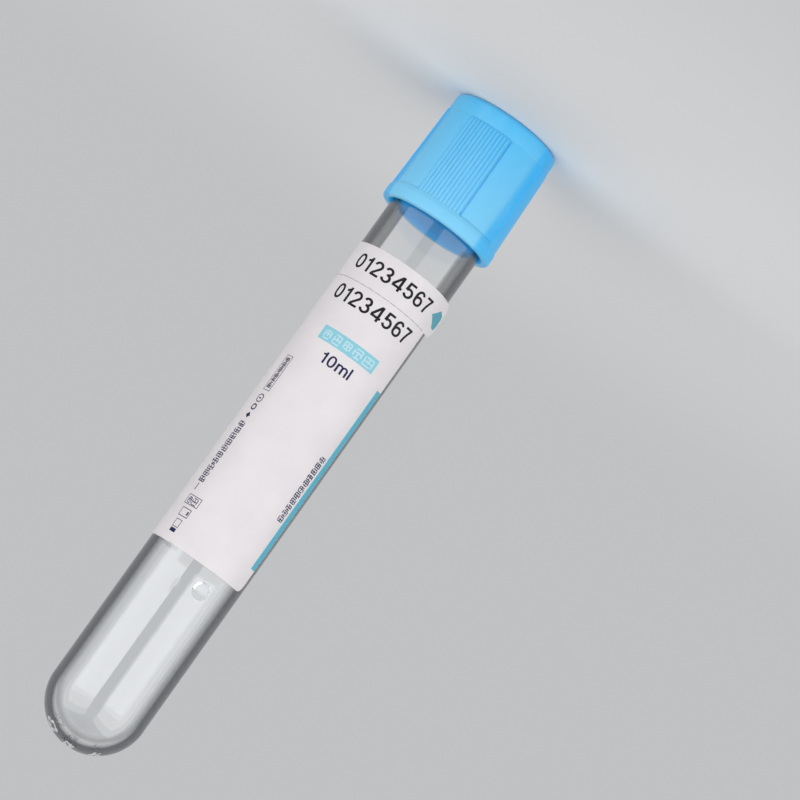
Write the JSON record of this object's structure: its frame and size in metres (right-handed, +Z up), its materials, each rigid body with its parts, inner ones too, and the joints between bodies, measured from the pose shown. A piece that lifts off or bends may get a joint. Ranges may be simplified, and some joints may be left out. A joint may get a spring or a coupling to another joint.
{
  "type": "blood collection tube",
  "caption": "Clear round-bottomed collection tube with a paper label and a ribbed light blue cap that carries a rubber stopper and pulls off the mouth.",
  "frame": {"origin": "on the floor, under the middle of the bounding box, where the tube stands on the flat top of its cap", "axes": "+Z up along the tube, from the cap to the round end; the printed side of the label faces -Y, and its free tab is on the -X side"},
  "size_m": [0.0188, 0.0188, 0.111],
  "materials": {
    "clear_plastic": "clear polished moulding",
    "label_paper": "smooth coated paper with plain print",
    "additive": "clear liquid drop",
    "cap_plastic": "satin light blue moulding",
    "stopper_rubber": "matt grey rubber"
  },
  "bodies": {
    "closure": {"cap": "cap_plastic", "stopper": "stopper_rubber"},
    "tube_body": {"tube": "clear_plastic", "label": "label_paper", "additive_drop": "additive"}
  },
  "joints": [
    {"name": "cap_pull", "type": "slide", "parent": "closure", "child": "tube_body", "axis": [0, 0, 1], "range_m": [0, 0.025]}
  ]
}
